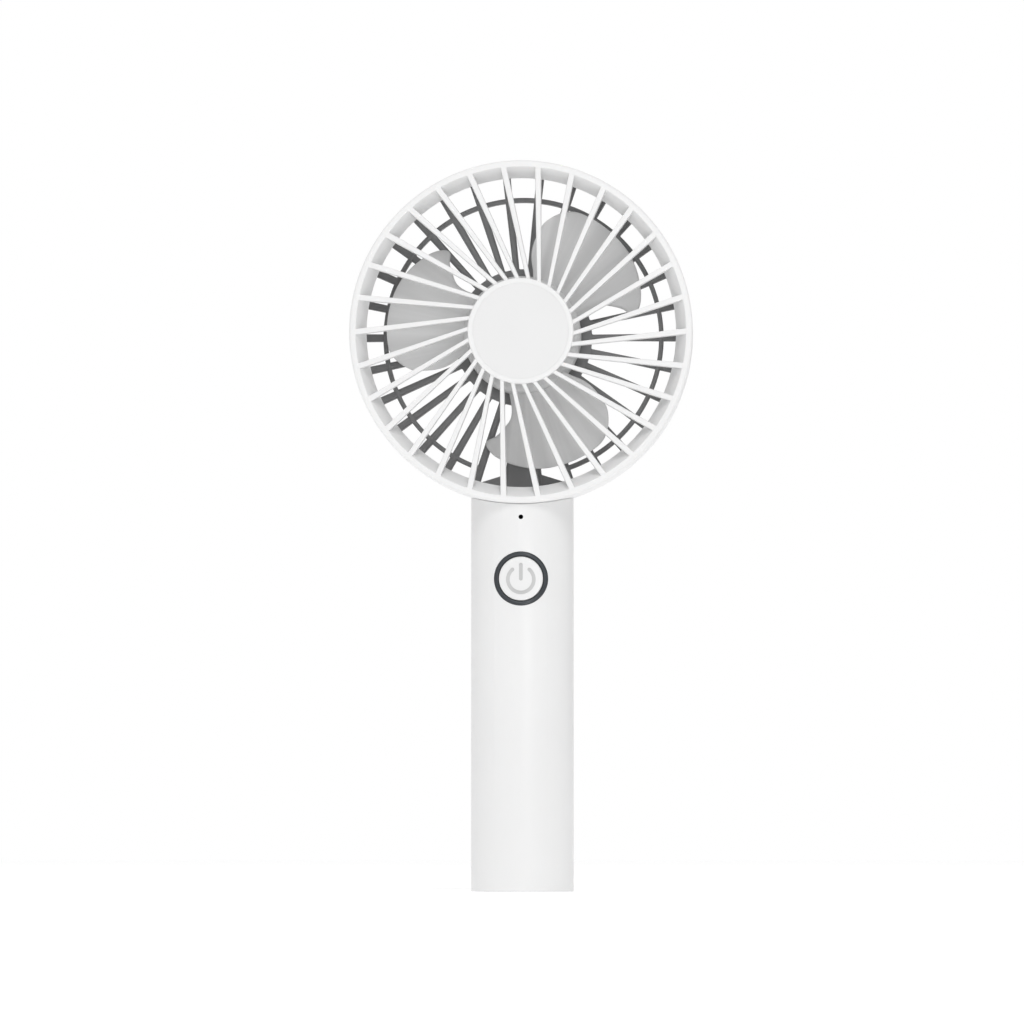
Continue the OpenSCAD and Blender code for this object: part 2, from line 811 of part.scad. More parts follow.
module battery_lead_black() {
    y = pcb_front_y - wire_r - joint_swell;
    foot_z = cell_z + wire_r + joint_swell;
    color("#202020") wire([[-3, -10.6, foot_z], [-3, -10.6, pcb_z + 1.5], [-3, y, pcb_z + 4]]);
}

front_grille();
grille_cap();
rear_housing();
rear_guard();
rotor();
rotor_yoke();
magnet_ring();
motor_shaft();
shaft_clip();
bearing_tube();
front_bearing();
rear_bearing();
stator_core();
stator_windings();
motor_board();
motor_lead_red();
motor_lead_black();
handle_tube();
inner_frame();
neck_screws();
bottom_cap();
base_screws();
control_board();
usb_socket();
tact_switch();
switch_plunger();
status_led();
power_button();
button_ring();
battery_cell();
battery_tabs();
battery_lead_red();
battery_lead_black();
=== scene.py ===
"""Looks of the handheld electric fan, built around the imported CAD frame.

Lengths are in millimetres until a mesh is made. Head parts use the head's own axes: x to the right and
y up as seen from the front, f forward out of the grille. A profile is a list of (radius, f, corner radius).
"""
import json
import math

import bmesh
import bpy
from mathutils import Matrix, Vector


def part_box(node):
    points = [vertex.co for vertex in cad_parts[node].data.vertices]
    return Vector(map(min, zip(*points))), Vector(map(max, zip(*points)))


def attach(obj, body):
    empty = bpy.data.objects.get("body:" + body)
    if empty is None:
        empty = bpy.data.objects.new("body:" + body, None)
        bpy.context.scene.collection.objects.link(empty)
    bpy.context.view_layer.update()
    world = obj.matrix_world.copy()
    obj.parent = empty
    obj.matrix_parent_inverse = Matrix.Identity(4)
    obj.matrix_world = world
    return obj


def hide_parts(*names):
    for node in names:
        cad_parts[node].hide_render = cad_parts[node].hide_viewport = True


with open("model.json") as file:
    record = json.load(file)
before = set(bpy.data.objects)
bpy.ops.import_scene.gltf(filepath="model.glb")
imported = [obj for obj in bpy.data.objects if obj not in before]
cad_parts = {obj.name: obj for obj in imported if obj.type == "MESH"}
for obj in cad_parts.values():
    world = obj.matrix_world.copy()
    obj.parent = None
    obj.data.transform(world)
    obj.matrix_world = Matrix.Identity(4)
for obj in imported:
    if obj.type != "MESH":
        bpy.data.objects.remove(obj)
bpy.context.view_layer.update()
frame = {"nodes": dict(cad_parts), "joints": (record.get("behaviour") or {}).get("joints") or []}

MM = 0.001
TURNS = 256
SHARP_ANGLE = math.radians(35)


def joint_place(name):
    """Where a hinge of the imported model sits, in millimetres."""
    joint = next(j for j in frame["joints"] if j["name"] == name)
    return Vector(joint["pos_m"]) / MM


def cad_box(node):
    lo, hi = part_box(node)
    return lo / MM, hi / MM


# ---- Dimensions: driven by the frame, with the finer ones beside them ----
# In names, R is a radius, F a depth ahead of the handle's axis, W a width and N a count

GRILLE_LO, GRILLE_HI = cad_box("front_grille")
HOUSING_LO, HOUSING_HI = cad_box("rear_housing")
TUBE_LO, TUBE_HI = cad_box("handle_tube")
BUTTON_LO, BUTTON_HI = cad_box("power_button")
SOCKET_LO, SOCKET_HI = cad_box("usb_socket")
LED_LO, LED_HI = cad_box("status_led")

# Head's shells
HEAD_Z = joint_place("rotor_spin").z
HEAD_R = (GRILLE_HI.x - GRILLE_LO.x) / 2
HUB_FRONT = -GRILLE_LO.y
RIM_FRONT = HUB_FRONT - 2.8
RIM_W = 1.9
RIM_ROUND = 0.9
THROAT_R = HEAD_R - 5
THROAT_F = RIM_FRONT - 5
SEAM_F = 8.5
HEAD_BACK = HOUSING_HI.y
ROUND_START = 1.5
ROUND_R = 1.6
SHELL_IN_R = HEAD_R - 1.8
SKIRT_R = HEAD_R - 4.1
SKIRT_BACK = SEAM_F - 3
LIP_R = HEAD_R - 2.55
LIP_F = 1.5 - HEAD_BACK

# Front grille and its cap; the spokes pass the axis at SPOKE_OFFSET
SPOKE_N = 30
SPOKE_OFFSET = 5.65
SPOKE_W_IN = 1.2
SPOKE_W_OUT = 1.8
SPOKE_DEPTH = 2.2
SPOKE_DRAFT = 0.18
HUB_R = 15.7
HUB_DEPTH = 3.2
CAP_R = HUB_R - 1.45
CAP_SEAT_F = HUB_FRONT - 1.1
CAP_CROWN = 0.17

# Rear guard, motor seat and wire duct
VANE_N = 30
VANE_STEP = 360 / VANE_N
VANE_W_IN = 1.8
VANE_W_OUT = 2.35
GUARD_FRONT = -10.5
GUARD_R = SHELL_IN_R - 0.05
DUCT_FRONT = -9.7
SEAT_R = 20.6
SEAT_IN_R = SEAT_R - 3.6
BOSS_R = 5.2
BOSS_BORE_R = 3.62
BOSS_F = -9.6
MID_RING_R = 40.7
MID_RING_W = 1.4
DUCT_HALF = math.radians(6.5)
# Corners of the web above the neck: to the side, and down from the axis
FLARE_TOP = (5, 41.1)
FLARE_FOOT = (18.2, 44.95)

# Rotor; a blade's depth is BLADE_MID_F at BLADE_MID_ANGLE and rises by BLADE_RISE per degree
ROTOR_HUB_R = 17.5
ROTOR_BORE_R = 15.62
SHAFT_BORE_R = 1.02
BLADE_N = 3
BLADE_T = 1.3
BLADE_RISE = 0.15
BLADE_MID_ANGLE = 48
BLADE_MID_F = -0.5
BLADE_EDGE_HALF = 0.12
# From root to tip: radius, angle of the leading edge, angle of the trailing edge
BLADE_SECTIONS = [(16.6, 15, 78.5), (19, 18.5, 80), (22, 21.3, 82.5), (25, 21.6, 83.2),
                  (28, 18.6, 82.3), (31, 15, 80.5), (33.6, 10.8, 79), (36.5, 15.4, 75),
                  (38.8, 26, 70.5), (40.2, 37, 65), (40.6, 48, 54)]

# Handle, button, light and charging socket
HANDLE_R = (TUBE_HI.x - TUBE_LO.x) / 2
HANDLE_IN_R = HANDLE_R - 1.7
NECK_GAP = 0.1
BASE_LIP_R = HANDLE_R - 1.0
BASE_LIP_H = 2.0
BUTTON_Z = (BUTTON_LO.z + BUTTON_HI.z) / 2
BUTTON_R = 6.5
BUTTON_FACE_Y = BUTTON_LO.y
BUTTON_CROWN_R = 40
BUTTON_EDGE = 0.45
BUTTON_TURNS = 160
SYMBOL_R = 3.85
SYMBOL_GAP = 40
SYMBOL_DROP = -0.27
SYMBOL_W = 1.08
BEZEL_R = 8.0
BEZEL_IN_R = 6.6
LED_Z = (LED_LO.z + LED_HI.z) / 2
LED_HOLE_R = 0.7
SOCKET_Z = (SOCKET_LO.z + SOCKET_HI.z) / 2
SOCKET_HALF_W = 4.5
SOCKET_HALF_H = 1.65
SOCKET_SKIN = 0.35
SOCKET_DEPTH = 6.5


# ---- Geometry helpers ----

def head_place(x, y, f):
    """A point in the head's own axes."""
    return Vector((x, -f, HEAD_Z + y))


def rounded(corners, steps=6):
    """Closed outline whose corners (a, b, radius) are replaced by arcs."""
    points = []
    for i, (a, b, radius) in enumerate(corners):
        here = Vector((a, b))
        before = Vector(corners[i - 1][:2]) - here
        after = Vector(corners[(i + 1) % len(corners)][:2]) - here
        half = before.angle(after) / 2
        if radius <= 0 or half > math.radians(89):
            points.append(here)
            continue
        reach = min(radius / math.tan(half), 0.49 * before.length, 0.49 * after.length)
        start = here + before.normalized() * reach
        end = here + after.normalized() * reach
        centre = here + (before.normalized() + after.normalized()).normalized() * (reach / math.cos(half))
        v0, v1 = start - centre, end - centre
        turn = v0.angle_signed(v1)
        for k in range(steps + 1):
            points.append(centre + Matrix.Rotation(-turn * k / steps, 2) @ v0)
    return points


def make_object(name, verts, faces):
    """Mesh object from points in millimetres, welded and with outward normals."""
    mesh = bpy.data.meshes.new(name)
    mesh.from_pydata([Vector(v) * MM for v in verts], [], faces)
    work = bmesh.new()
    work.from_mesh(mesh)
    bmesh.ops.remove_doubles(work, verts=work.verts, dist=1e-7)
    bmesh.ops.dissolve_degenerate(work, edges=work.edges, dist=1e-8)
    bmesh.ops.recalc_face_normals(work, faces=work.faces)
    work.to_mesh(mesh)
    work.free()
    obj = bpy.data.objects.new(name, mesh)
    bpy.context.scene.collection.objects.link(obj)
    return obj


def grid_faces(rows, cols, wrap_rows=False, wrap_cols=False):
    """Quads of a grid whose points run row by row."""
    faces = []
    for i in range(rows if wrap_rows else rows - 1):
        for j in range(cols if wrap_cols else cols - 1):
            a, b = i * cols + j, i * cols + (j + 1) % cols
            c, d = ((i + 1) % rows) * cols + (j + 1) % cols, ((i + 1) % rows) * cols + j
            faces.append((a, b, c, d))
    return faces


def lathe(name, outline, place, turns=TURNS):
    """Turns a closed outline of (radius, height) about an axis."""
    verts = []
    for k in range(turns):
        angle = 2 * math.pi * k / turns
        verts += [place(p[0] * math.cos(angle), p[0] * math.sin(angle), p[1]) for p in outline]
    return make_object(name, verts, grid_faces(turns, len(outline), True, True))


def loft(name, sections):
    """Skins closed sections of equal length in order and caps both ends."""
    cols = len(sections[0])
    verts = [p for section in sections for p in section]
    faces = grid_faces(len(sections), cols, False, True)
    faces.append(tuple(range(cols)))
    faces.append(tuple(range(len(verts) - cols, len(verts))))
    return make_object(name, verts, faces)


def prism(name, outline, place, h0, h1):
    """Extrudes a closed outline of (x, y) between two heights."""
    return loft(name, [[place(p[0], p[1], h) for p in outline] for h in (h0, h1)])


def join(name, parts):
    """One object out of several, as separate shells."""
    work = bmesh.new()
    for part in parts:
        work.from_mesh(part.data)
        bpy.data.objects.remove(part)
    mesh = bpy.data.meshes.new(name)
    work.to_mesh(mesh)
    work.free()
    obj = bpy.data.objects.new(name, mesh)
    bpy.context.scene.collection.objects.link(obj)
    return obj


def combine(target, operation, *others):
    """Boolean of closed meshes, applied to the target."""
    for other in others:
        change = target.modifiers.new("combine", "BOOLEAN")
        change.operation = operation
        change.solver = "MANIFOLD"
        change.object = other
    bpy.context.view_layer.update()
    graph = bpy.context.evaluated_depsgraph_get()
    mesh = bpy.data.meshes.new_from_object(target.evaluated_get(graph))
    target.modifiers.clear()
    target.data = mesh
    for other in others:
        bpy.data.objects.remove(other)


def spaced(start, end, count):
    """Evenly spaced values from start to end, both included."""
    return [start + (end - start) * k / count for k in range(count + 1)]


def fillet_growth(distance, size):
    """How far a fillet of this size widens a bar at a distance from the wall."""
    if distance >= size:
        return 0.0
    reach = size - max(distance, 0.0)
    return size - math.sqrt(size * size - reach * reach)


def bar_section(right, left, depth, corner, front_corner, draft):
    """Cross-section of a spoke or vane, as (across, down from the front); draft narrows its front."""
    return rounded([(draft - right, 0, front_corner), (left - draft, 0, front_corner),
                    (left, -depth, corner), (-right, -depth, corner)], 5)


def bar_between(name, inner_r, outer_r, sinks, middle, widths, fillet, fronts, depth, shape, angle):
    """A tapering bar between two round walls, off the centre by middle, with fillets at both ends.

    sinks, widths and fronts are (at the inner wall, at the outer wall): how far the bar sinks into it, how
    wide it is and how far forward it stands. shape is (corner radius at the back, corner radius at the
    front, draft of a side). The bar lies along +x before it is turned by angle.
    """
    x_in = math.sqrt((inner_r - sinks[0]) ** 2 - middle ** 2)
    x_out = math.sqrt((outer_r + sinks[1]) ** 2 - middle ** 2)
    inner_start, outer_start = [math.sqrt(r * r - (abs(middle) + w / 2) ** 2)
                                for r, w in ((inner_r, widths[0]), (outer_r, widths[1]))]
    inner_end, outer_end = [math.sqrt(r * r - (abs(middle) - w / 2) ** 2)
                            for r, w in ((inner_r, widths[0]), (outer_r, widths[1]))]
    inner_end += fillet
    outer_start -= fillet
    stations = [x_in, *spaced(inner_start, inner_end, 14), *spaced(inner_end, outer_start, 3)[1:-1],
                *spaced(outer_start, outer_end, 10), x_out]
    turn = Matrix.Rotation(math.radians(angle), 2)
    sections = []
    for x in stations:
        t = (x - x_in) / (x_out - x_in)
        half = (widths[0] + (widths[1] - widths[0]) * t) / 2
        reach = []
        for side in (-1, 1):
            edge = middle + side * half
            from_inner = x - math.sqrt(inner_r ** 2 - edge ** 2)
            to_outer = math.sqrt(outer_r ** 2 - edge ** 2) - x
            reach.append(half + fillet_growth(from_inner, fillet) + fillet_growth(to_outer, fillet))
        section = []
        for across, down in bar_section(*reach, depth, *shape):
            at = turn @ Vector((x, across + middle))
            section.append(head_place(at.x, at.y, fronts[0] + (fronts[1] - fronts[0]) * t + down))
        sections.append(section)
    return loft(name, sections)


def smooth(obj):
    obj.data.shade_smooth()
    obj.data.set_sharp_from_angle(angle=SHARP_ANGLE)


def finish_piece(obj, material, body, slot, *nodes):
    """Gives a piece its material and its body, and hides the CAD nodes that it stands for. The slot is not
    used.
    """
    obj.data.materials.clear()
    obj.data.materials.append(material)
    smooth(obj)
    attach(obj, body)
    if nodes:
        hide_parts(*nodes)


# ---- Materials ----

def new_material(name, colour, roughness, metallic=0.0, specular=0.5):
    material = bpy.data.materials.new(name)
    material.use_nodes = True
    shader = material.node_tree.nodes["Principled BSDF"]
    shader.inputs["Base Color"].default_value = (*colour, 1)
    shader.inputs["Roughness"].default_value = roughness
    shader.inputs["Metallic"].default_value = metallic
    shader.inputs["Specular IOR Level"].default_value = specular
    return material, material.node_tree, shader


def add_noise(tree, per_mm, detail=3.0, stretch=(1, 1, 1)):
    """Noise in the object's own coordinates; per_mm is how many grains fit in a millimetre."""
    coords = tree.nodes.new("ShaderNodeTexCoord")
    mapping = tree.nodes.new("ShaderNodeMapping")
    mapping.inputs["Scale"].default_value = [s * per_mm / MM for s in stretch]
    noise = tree.nodes.new("ShaderNodeTexNoise")
    noise.inputs["Scale"].default_value = 1.0
    noise.inputs["Detail"].default_value = detail
    tree.links.new(coords.outputs["Object"], mapping.inputs["Vector"])
    tree.links.new(mapping.outputs["Vector"], noise.inputs["Vector"])
    return noise.outputs["Fac"]


def add_colour_range(tree, shader, factor, low, high):
    """Base colour between two colours, by a factor that mostly stays from 0.3 to 0.7."""
    ramp = tree.nodes.new("ShaderNodeValToRGB")
    ramp.color_ramp.elements[0].position = 0.3
    ramp.color_ramp.elements[0].color = (*low, 1)
    ramp.color_ramp.elements[1].position = 0.7
    ramp.color_ramp.elements[1].color = (*high, 1)
    tree.links.new(factor, ramp.inputs["Fac"])
    tree.links.new(ramp.outputs["Color"], shader.inputs["Base Color"])


def add_roughness_range(tree, shader, factor, low, high):
    """Roughness between two values, by a factor that mostly stays from 0.3 to 0.7."""
    spread = tree.nodes.new("ShaderNodeMapRange")
    spread.inputs["From Min"].default_value = 0.3
    spread.inputs["From Max"].default_value = 0.7
    spread.inputs["To Min"].default_value = low
    spread.inputs["To Max"].default_value = high
    tree.links.new(factor, spread.inputs["Value"])
    tree.links.new(spread.outputs["Result"], shader.inputs["Roughness"])


def add_bump(tree, shader, height, depth_mm):
    bump = tree.nodes.new("ShaderNodeBump")
    bump.inputs["Distance"].default_value = depth_mm * MM
    tree.links.new(height, bump.inputs["Height"])
    tree.links.new(bump.outputs["Normal"], shader.inputs["Normal"])


def scaled(colour, factor):
    return tuple(min(1.0, c * factor) for c in colour)


def plastic(name, colour, roughness=0.42, grain=2.5, depth=0.006, tint=0.012, specular=0.4, glow=0.0):
    """Moulded plastic: fine spark-eroded grain, slow colour drift and uneven sheen."""
    material, tree, shader = new_material(name, colour, roughness, specular=specular)
    drift = add_noise(tree, 0.03, 2)
    add_colour_range(tree, shader, drift, scaled(colour, 1 - tint), scaled(colour, 1 + tint))
    add_roughness_range(tree, shader, add_noise(tree, 0.12, 4), roughness - 0.04, roughness + 0.05)
    add_bump(tree, shader, add_noise(tree, grain, 3), depth)
    if glow > 0:
        shader.inputs["Subsurface Weight"].default_value = glow
        shader.inputs["Subsurface Radius"].default_value = (1.0, 0.9, 0.8)
        shader.inputs["Subsurface Scale"].default_value = 1.2 * MM
    return material


def spoke_shadow_streaked(name, colour, roughness, contrast):
    """Moulded plastic of a part on the head's axis, with painted shade: faint light and dark streaks that
    fan out from the axis, standing in for the soft shadows of the grille's spokes.
    """
    material = plastic(name, colour, roughness)
    tree = material.node_tree
    shader = tree.nodes["Principled BSDF"]
    coords = tree.nodes.new("ShaderNodeTexCoord")
    centred = tree.nodes.new("ShaderNodeMapping")
    centred.vector_type = "TEXTURE"
    # Turned so that the jump of the angle lies between two blades
    centred.inputs["Location"].default_value = (0, 0, HEAD_Z * MM)
    centred.inputs["Rotation"].default_value = (math.radians(90), math.radians(70), 0)
    angle = tree.nodes.new("ShaderNodeTexGradient")
    angle.gradient_type = "RADIAL"
    marks = tree.nodes.new("ShaderNodeTexNoise")
    marks.noise_dimensions = "1D"
    marks.inputs["Scale"].default_value = 40
    marks.inputs["Detail"].default_value = 3
    tree.links.new(coords.outputs["Object"], centred.inputs["Vector"])
    tree.links.new(centred.outputs["Vector"], angle.inputs["Vector"])
    tree.links.new(angle.outputs["Fac"], marks.inputs["W"])
    # Painted shade: light and dark streaks by the angle about the axis, like the spokes' soft shadows
    low, high = scaled(colour, 1 - contrast), scaled(colour, 1 + contrast)
    add_colour_range(tree, shader, marks.outputs["Fac"], low, high)
    return material


def metal(name, colour, roughness, stretch=(1, 1, 1)):
    """Metal with fine machining or rolling marks, finest along the most stretched direction."""
    material, tree, shader = new_material(name, colour, roughness, metallic=1.0)
    marks = add_noise(tree, 4.0, 4, stretch)
    add_colour_range(tree, shader, marks, scaled(colour, 0.9), scaled(colour, 1.08))
    add_roughness_range(tree, shader, marks, roughness - 0.07, roughness + 0.1)
    add_bump(tree, shader, marks, 0.003)
    return material


def banded(name, colour, dark, roughness, bands_per_mm, direction):
    """Stacked or wound metal: laminations, or turns of enamelled wire."""
    material, tree, shader = new_material(name, colour, roughness, metallic=1.0)
    coords = tree.nodes.new("ShaderNodeTexCoord")
    wave = tree.nodes.new("ShaderNodeTexWave")
    wave.bands_direction = direction
    wave.inputs["Scale"].default_value = bands_per_mm / MM / math.pi
    wave.inputs["Distortion"].default_value = 0.6
    tree.links.new(coords.outputs["Object"], wave.inputs["Vector"])
    add_colour_range(tree, shader, wave.outputs["Fac"], dark, colour)
    add_bump(tree, shader, wave.outputs["Fac"], 0.03)
    return material


def circuit_board(name, mask, track):
    """Solder mask over copper tracks, drawn by cells."""
    material, tree, shader = new_material(name, mask, 0.35)
    coords = tree.nodes.new("ShaderNodeTexCoord")
    cells = tree.nodes.new("ShaderNodeTexVoronoi")
    cells.distance = "CHEBYCHEV"
    cells.inputs["Scale"].default_value = 0.45 / MM
    tree.links.new(coords.outputs["Object"], cells.inputs["Vector"])
    add_colour_range(tree, shader, cells.outputs["Distance"], track, mask)
    add_bump(tree, shader, cells.outputs["Distance"], 0.02)
    return material


SHELL_WHITE = plastic("shell_white", (0.80, 0.80, 0.80), 0.34, glow=0.05)
GRILLE_WHITE = plastic("grille_white", (0.80, 0.80, 0.80), 0.42, glow=0.05)
CAP_WHITE = plastic("cap_white", (0.755, 0.755, 0.755), 0.40)
GUARD_GREY = plastic("guard_grey", (0.24, 0.24, 0.242), 0.5, tint=0.06)
# Light grey rotor, with painted spoke shadows streaked over its blades and hub
ROTOR_GREY = spoke_shadow_streaked("rotor_grey", (0.66, 0.66, 0.66), 0.42, 0.06)
BUTTON_WHITE = plastic("button_white", (0.79, 0.79, 0.79), 0.36, grain=4, depth=0.003)
RING_SLATE = plastic("ring_slate", (0.042, 0.047, 0.054), 0.32, tint=0.08, specular=0.4)
SYMBOL_GREY = plastic("symbol_grey", (0.58, 0.58, 0.58), 0.5, tint=0.03)
FRAME_PLASTIC = plastic("frame_plastic", (0.62, 0.62, 0.60), 0.5, tint=0.02)
SWITCH_BLACK = plastic("switch_black", (0.02, 0.02, 0.02), 0.45, tint=0.2)
LED_SMOKED = plastic("led_smoked", (0.003, 0.003, 0.004), 0.5, depth=0.001, tint=0.2, specular=0.03)
WIRE_RED = plastic("wire_red", (0.42, 0.02, 0.015), 0.38, tint=0.05)
WIRE_BLACK = plastic("wire_black", (0.015, 0.015, 0.015), 0.38, tint=0.2)
CELL_WRAP = plastic("cell_wrap", (0.02, 0.12, 0.26), 0.3, grain=0.8, depth=0.01, tint=0.05)
MAGNET = plastic("magnet", (0.02, 0.02, 0.02), 0.6, grain=5, depth=0.01, tint=0.2)
STEEL = metal("steel", (0.55, 0.55, 0.56), 0.32)
SHAFT_STEEL = metal("shaft_steel", (0.62, 0.62, 0.64), 0.18, stretch=(1, 8, 1))
SPRING_STEEL = metal("spring_steel", (0.2, 0.2, 0.21), 0.4)
YOKE_STEEL = metal("yoke_steel", (0.5, 0.5, 0.51), 0.35, stretch=(0.2, 3, 0.2))
BEARING_STEEL = metal("bearing_steel", (0.6, 0.6, 0.62), 0.22)
SOCKET_STEEL = metal("socket_steel", (0.58, 0.58, 0.58), 0.3, stretch=(1, 6, 6))
NICKEL = metal("nickel", (0.58, 0.55, 0.48), 0.3, stretch=(1, 1, 6))
BRASS = metal("brass", (0.62, 0.44, 0.16), 0.25, stretch=(1, 6, 1))
CORE_STEEL = banded("core_steel", (0.3, 0.31, 0.33), (0.08, 0.08, 0.09), 0.4, 3, "Y")
COPPER = banded("copper", (0.58, 0.2, 0.06), (0.2, 0.05, 0.015), 0.3, 3, "DIAGONAL")
BOARD_GREEN = circuit_board("board_green", (0.01, 0.12, 0.05), (0.05, 0.3, 0.1))


# ---- Head ----

def shell_curve():
    """Outer curve of the head behind the seam, from its straight band to its flat back."""
    points = []
    steps = 24
    for k in range(steps + 1):
        t = math.pi / 2 * k / steps
        points.append(Vector((HEAD_R - ROUND_R * (1 - math.cos(t)),
                              ROUND_START - (ROUND_START + HEAD_BACK) * math.sin(t))))
    return points


def front_grille():
    rim_in_r = HEAD_R - RIM_W
    rim = rounded([
        (HEAD_R, SEAM_F, 0.3), (HEAD_R, RIM_FRONT, RIM_ROUND), (rim_in_r, RIM_FRONT, 0.15),
        (THROAT_R, THROAT_F, 0.2), (SKIRT_R, SKIRT_BACK, 0.2),
        (SHELL_IN_R - 0.1, SKIRT_BACK, 0.2), (SHELL_IN_R - 0.1, SEAM_F, 0.1)])
    ring = lathe("rim", rim, head_place)
    hub_back = HUB_FRONT - HUB_DEPTH
    recess_r = CAP_R + 0.01
    hub = lathe("hub", rounded([
        (0, hub_back, 0), (HUB_R, hub_back, 0.4), (HUB_R, HUB_FRONT, 0.4),
        (recess_r, HUB_FRONT, 0.04), (recess_r, CAP_SEAT_F, 0), (0, CAP_SEAT_F, 0)]), head_place)
    lean = math.degrees(math.asin(SPOKE_OFFSET / rim_in_r))
    fronts = (HUB_FRONT - 0.4, RIM_FRONT - 0.06)
    widths = (SPOKE_W_IN + SPOKE_DRAFT, SPOKE_W_OUT + SPOKE_DRAFT)
    spokes = []
    for k in range(SPOKE_N):
        spokes.append(bar_between("spoke", HUB_R, rim_in_r, (0.6, 0.6), -SPOKE_OFFSET, widths, 0.3, fronts,
                                  SPOKE_DEPTH, (0.2, 0.1, SPOKE_DRAFT), lean + 360 * k / SPOKE_N))
    combine(ring, "UNION", join("spokes", spokes), hub)
    ring.name = "front_grille_body"
    finish_piece(ring, GRILLE_WHITE, "casing", "grille_white", "front_grille")


def grille_cap():
    """Disc with a slightly domed face."""
    back, edge = CAP_SEAT_F + 0.05, HUB_FRONT - 0.02
    face = [(CAP_R * u, edge + CAP_CROWN * (1 - u ** 2), 0) for u in (1 - k / 12 for k in range(1, 13))]
    cap = lathe("grille_cap_disc", rounded([
        (0, back, 0), (CAP_R, back, 0.1), (CAP_R, edge, 0.04), *face]), head_place)
    finish_piece(cap, CAP_WHITE, "casing", "cap_white", "grille_cap")


def rear_housing():
    corners = [(SHELL_IN_R, SEAM_F, 0.1), (HEAD_R, SEAM_F, 0.3)]
    corners += [(p.x, p.y, 0) for p in shell_curve()[:-1]]
    corners += [(HEAD_R - ROUND_R, -HEAD_BACK, 0.2), (LIP_R, -HEAD_BACK, 0.35), (LIP_R, LIP_F, 0.2),
                (SHELL_IN_R, LIP_F, 0.1)]
    shell = lathe("rear_housing_shell", rounded(corners), head_place)
    finish_piece(shell, SHELL_WHITE, "casing", "shell_white", "rear_housing")


def middle_ring():
    """Thin ring that stops at the last free vane on each side of the duct."""
    outer_r = MID_RING_R + MID_RING_W
    section = rounded([
        (MID_RING_R, LIP_F, 0.3), (outer_r, LIP_F, 0.3),
        (outer_r, GUARD_FRONT, 0.45), (MID_RING_R, GUARD_FRONT, 0.45)])
    turns = [math.radians(a) for a in spaced(270 + 1.5 * VANE_STEP, 630 - 1.5 * VANE_STEP, TURNS)]
    return loft("mid_ring", [[head_place(p[0] * math.cos(a), p[0] * math.sin(a), p[1]) for p in section]
                             for a in turns])


def motor_seat():
    """Cup that holds the motor, with the boss of its bearing tube."""
    cup_r = SEAT_R - 0.5
    return lathe("seat", rounded([
        (0, -HEAD_BACK, 0), (cup_r, -HEAD_BACK, 0.5), (cup_r, LIP_F, 0.1), (SEAT_R, LIP_F, 0.2),
        (SEAT_R, GUARD_FRONT, 0.3), (SEAT_IN_R, GUARD_FRONT, 0.3), (SEAT_IN_R, LIP_F, 0.3),
        (BOSS_R, LIP_F, 0.3), (BOSS_R, BOSS_F, 0.3), (BOSS_BORE_R, BOSS_F, 0.2), (BOSS_BORE_R, LIP_F, 0),
        (0, LIP_F, 0)]), head_place)


def neck_flare():
    """Web that spreads from the duct to the outer ring above the neck."""
    foot_angle = math.atan2(*FLARE_FOOT)
    foot_r = LIP_R + 0.35
    foot = [(foot_r * math.sin(a), -foot_r * math.cos(a)) for a in spaced(-foot_angle, foot_angle, 10)]
    top = [(FLARE_TOP[0], -FLARE_TOP[1]), (-FLARE_TOP[0], -FLARE_TOP[1])]
    return prism("flare", foot + top, head_place, LIP_F + 0.1, GUARD_FRONT - 0.3)


def rear_guard():
    guard = lathe("outer_ring", rounded([
        (LIP_R, LIP_F, 0.1), (GUARD_R, LIP_F, 0.1), (GUARD_R, GUARD_FRONT, 0.2),
        (LIP_R, GUARD_FRONT, 0.2)]), head_place)
    vane_front = GUARD_FRONT - 0.05
    vanes = []
    for k in range(VANE_N):
        vanes.append(bar_between("vane", SEAT_R, LIP_R, (0.8, 0.5), 0, (VANE_W_IN, VANE_W_OUT), 0.4,
                                 (vane_front, vane_front), GUARD_FRONT - LIP_F - 0.1,
                                 (0.3, 0.7, 0), VANE_STEP * k))
    duct_widths = [2 * radius * math.tan(DUCT_HALF) for radius in (SEAT_R, LIP_R)]
    duct = bar_between("duct", SEAT_R, LIP_R, (1.2, 0.2), 0, duct_widths, 0.1, (DUCT_FRONT, DUCT_FRONT),
                       DUCT_FRONT - LIP_F, (0.3, 0.4, 0), 270)
    combine(guard, "UNION", middle_ring(), motor_seat(), join("vanes", vanes), neck_flare(), duct)
    guard.name = "rear_guard_body"
    finish_piece(guard, GUARD_GREY, "casing", "guard_grey", "rear_guard")


def section_at(t):
    """Smooth curve through the blade's sections; t counts sections from the root."""
    last = len(BLADE_SECTIONS) - 1
    i = min(int(t), last - 1)
    u = t - i
    a, b, c, d = (Vector(BLADE_SECTIONS[min(max(j, 0), last)]) for j in (i - 1, i, i + 1, i + 2))
    square, cube = 2 * a - 5 * b + 4 * c - d, 3 * b - a - 3 * c + d
    return (2 * b + (c - a) * u + square * u ** 2 + cube * u ** 3) / 2


